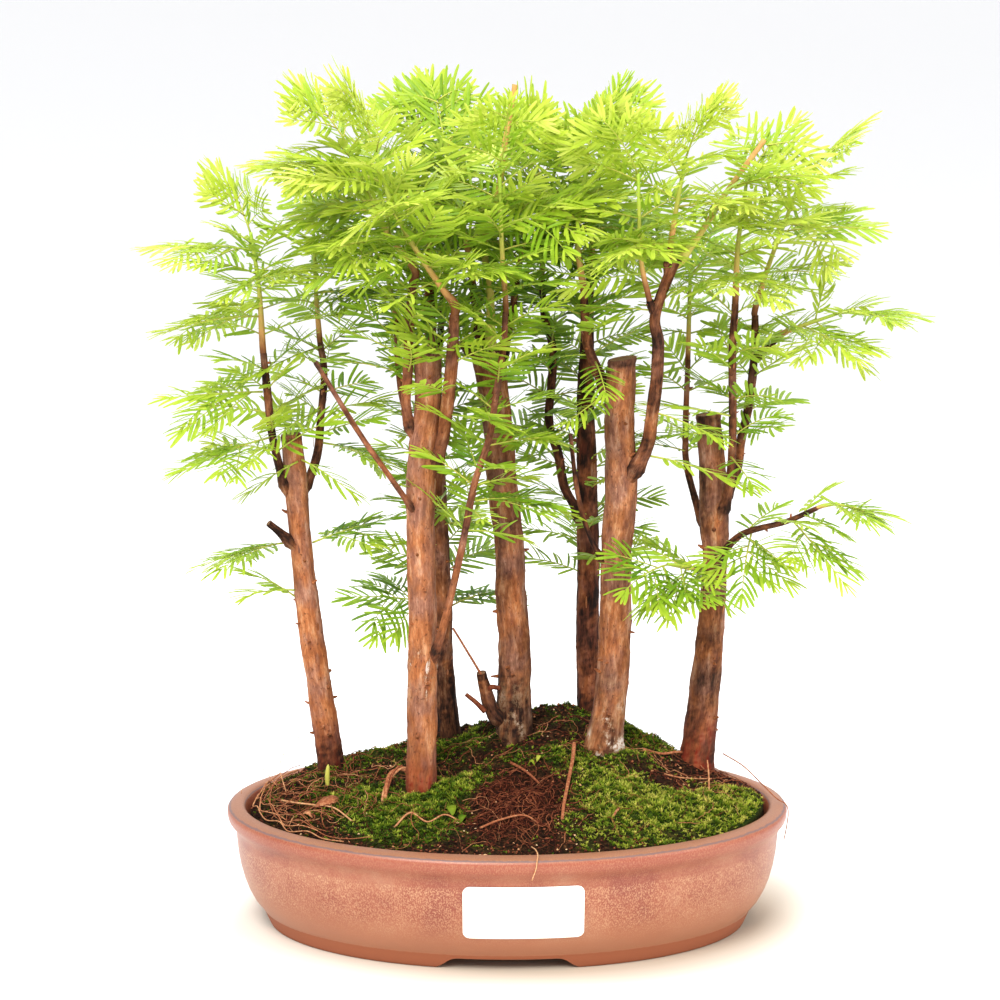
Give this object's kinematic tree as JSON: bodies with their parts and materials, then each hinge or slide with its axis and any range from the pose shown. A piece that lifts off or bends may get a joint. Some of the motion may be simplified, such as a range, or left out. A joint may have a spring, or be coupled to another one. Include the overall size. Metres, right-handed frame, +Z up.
{
  "type": "dawn redwood bonsai forest",
  "caption": "Group planting of dawn redwoods with cut-back trunks and feathery needle sprays, on a mossy mound in an oval glazed tray.",
  "frame": {"origin": "middle of the whole object's footprint, at the level that the tray's feet stand on; the tray's own centre lies a few millimetres from it", "axes": "+Z up, +X to the right along the tray's length, -Y to the front"},
  "size_m": [0.4232, 0.2294, 0.4556],
  "materials": {
    "glazed_stoneware": "mottled red-brown glaze, satin",
    "label_paper": "blank, matt white",
    "screen_plastic": "matt black mesh",
    "soil_and_moss": "granular earth under moss",
    "bark": "reddish brown flaking bark",
    "needles": "soft bright green needles on green shoots"
  },
  "bodies": {
    "root": {"blank_label": "label_paper", "drain_screen_left": "screen_plastic", "drain_screen_right": "screen_plastic", "leafy_stem_1_left": "needles", "leafy_stem_1_right": "needles", "leafy_stem_2_left": "needles", "leafy_stem_2_low": "needles", "leafy_stem_2_outer": "needles", "leafy_stem_2_right": "needles", "leafy_stem_3_back": "needles", "leafy_stem_4_left": "needles", "leafy_stem_4_right": "needles", "leafy_stem_5_left": "needles", "leafy_stem_6_left": "needles", "leafy_stem_6_mid": "needles", "leafy_stem_6_up": "needles", "leafy_stem_7_far": "needles", "leafy_stem_7_front": "needles", "leafy_stem_7_left": "needles", "leafy_stem_7_low": "needles", "leafy_stem_7_near": "needles", "leafy_stem_7_right": "needles", "leafy_trunk_3": "needles", "leafy_trunk_5": "needles", "soil": "soil_and_moss", "spray_stem_1_left_1": "needles", "spray_stem_1_left_2": "needles", "spray_stem_1_right_1": "needles", "spray_stem_2_low_1": "needles", "spray_stem_4_tall_1": "needles", "spray_stem_4_tall_2": "needles", "spray_stem_7_low_1": "needles", "spray_stem_7_low_2": "needles", "spray_trunk_1_1": "needles", "spray_trunk_1_2": "needles", "spray_trunk_3_1": "needles", "spray_trunk_3_2": "needles", "spray_twig_6_cut_1": "needles", "spray_twig_6_thin_1": "needles", "tray": "glazed_stoneware", "tree_1": "bark", "tree_2": "bark", "tree_3": "bark", "tree_4": "bark", "tree_5": "bark", "tree_6": "bark", "tree_7": "bark"}
  },
  "joints": []
}
